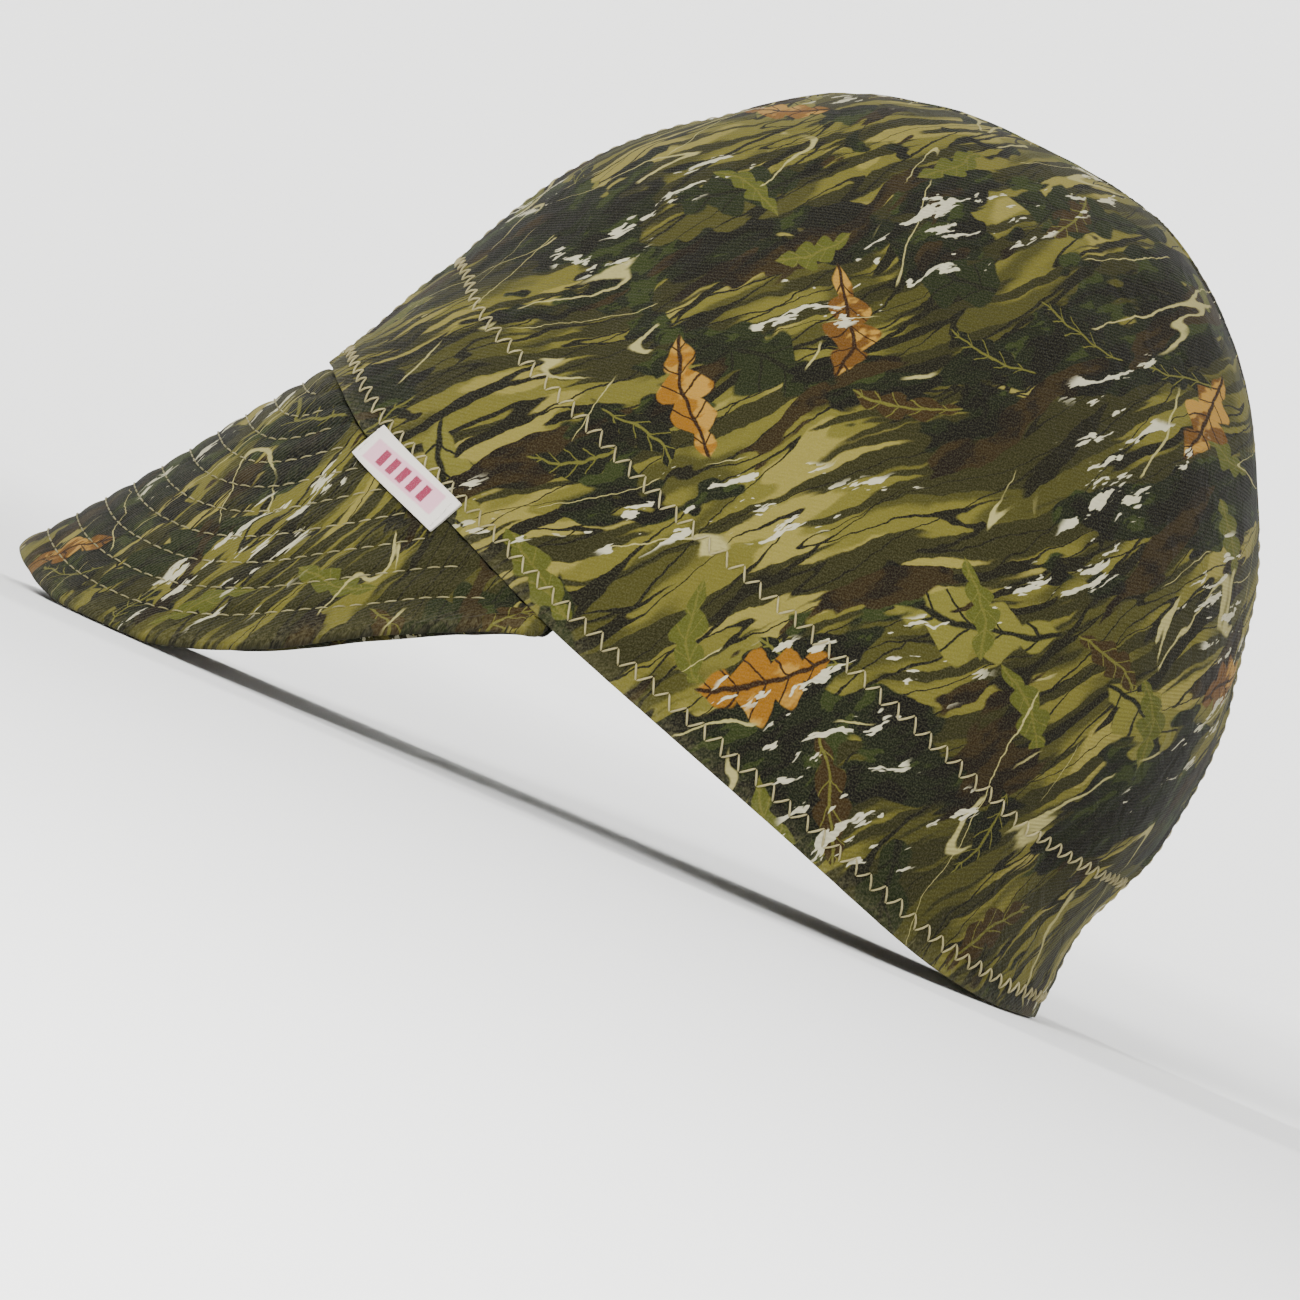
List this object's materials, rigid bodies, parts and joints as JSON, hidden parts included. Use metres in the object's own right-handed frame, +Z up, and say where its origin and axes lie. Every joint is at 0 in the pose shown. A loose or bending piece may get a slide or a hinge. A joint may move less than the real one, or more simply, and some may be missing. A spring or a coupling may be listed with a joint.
{
  "type": "welding cap",
  "caption": "Limp camouflage cotton welding cap with a deep rounded crown, an inner sweatband, a short soft quilted bill and a side label.",
  "frame": {"origin": "centre of the cap's outline on the surface that it rests on", "axes": "+Z up, -Y towards the tip of the bill (the wearer's front), +X to the wearer's left"},
  "size_m": [0.1608, 0.235, 0.1593],
  "materials": {
    "crown_cloth": null,
    "band_cloth": "matte printed cotton, the same cloth turned in",
    "bill_cloth": "matte printed cotton, quilted in rows",
    "label_cloth": "woven white tape with plain magenta stripes"
  },
  "bodies": {
    "root": {"crown_panel_left": "crown_cloth", "crown_panel_right": "crown_cloth", "sweatband": "band_cloth", "bill": "bill_cloth", "side_label": "label_cloth"}
  },
  "joints": []
}
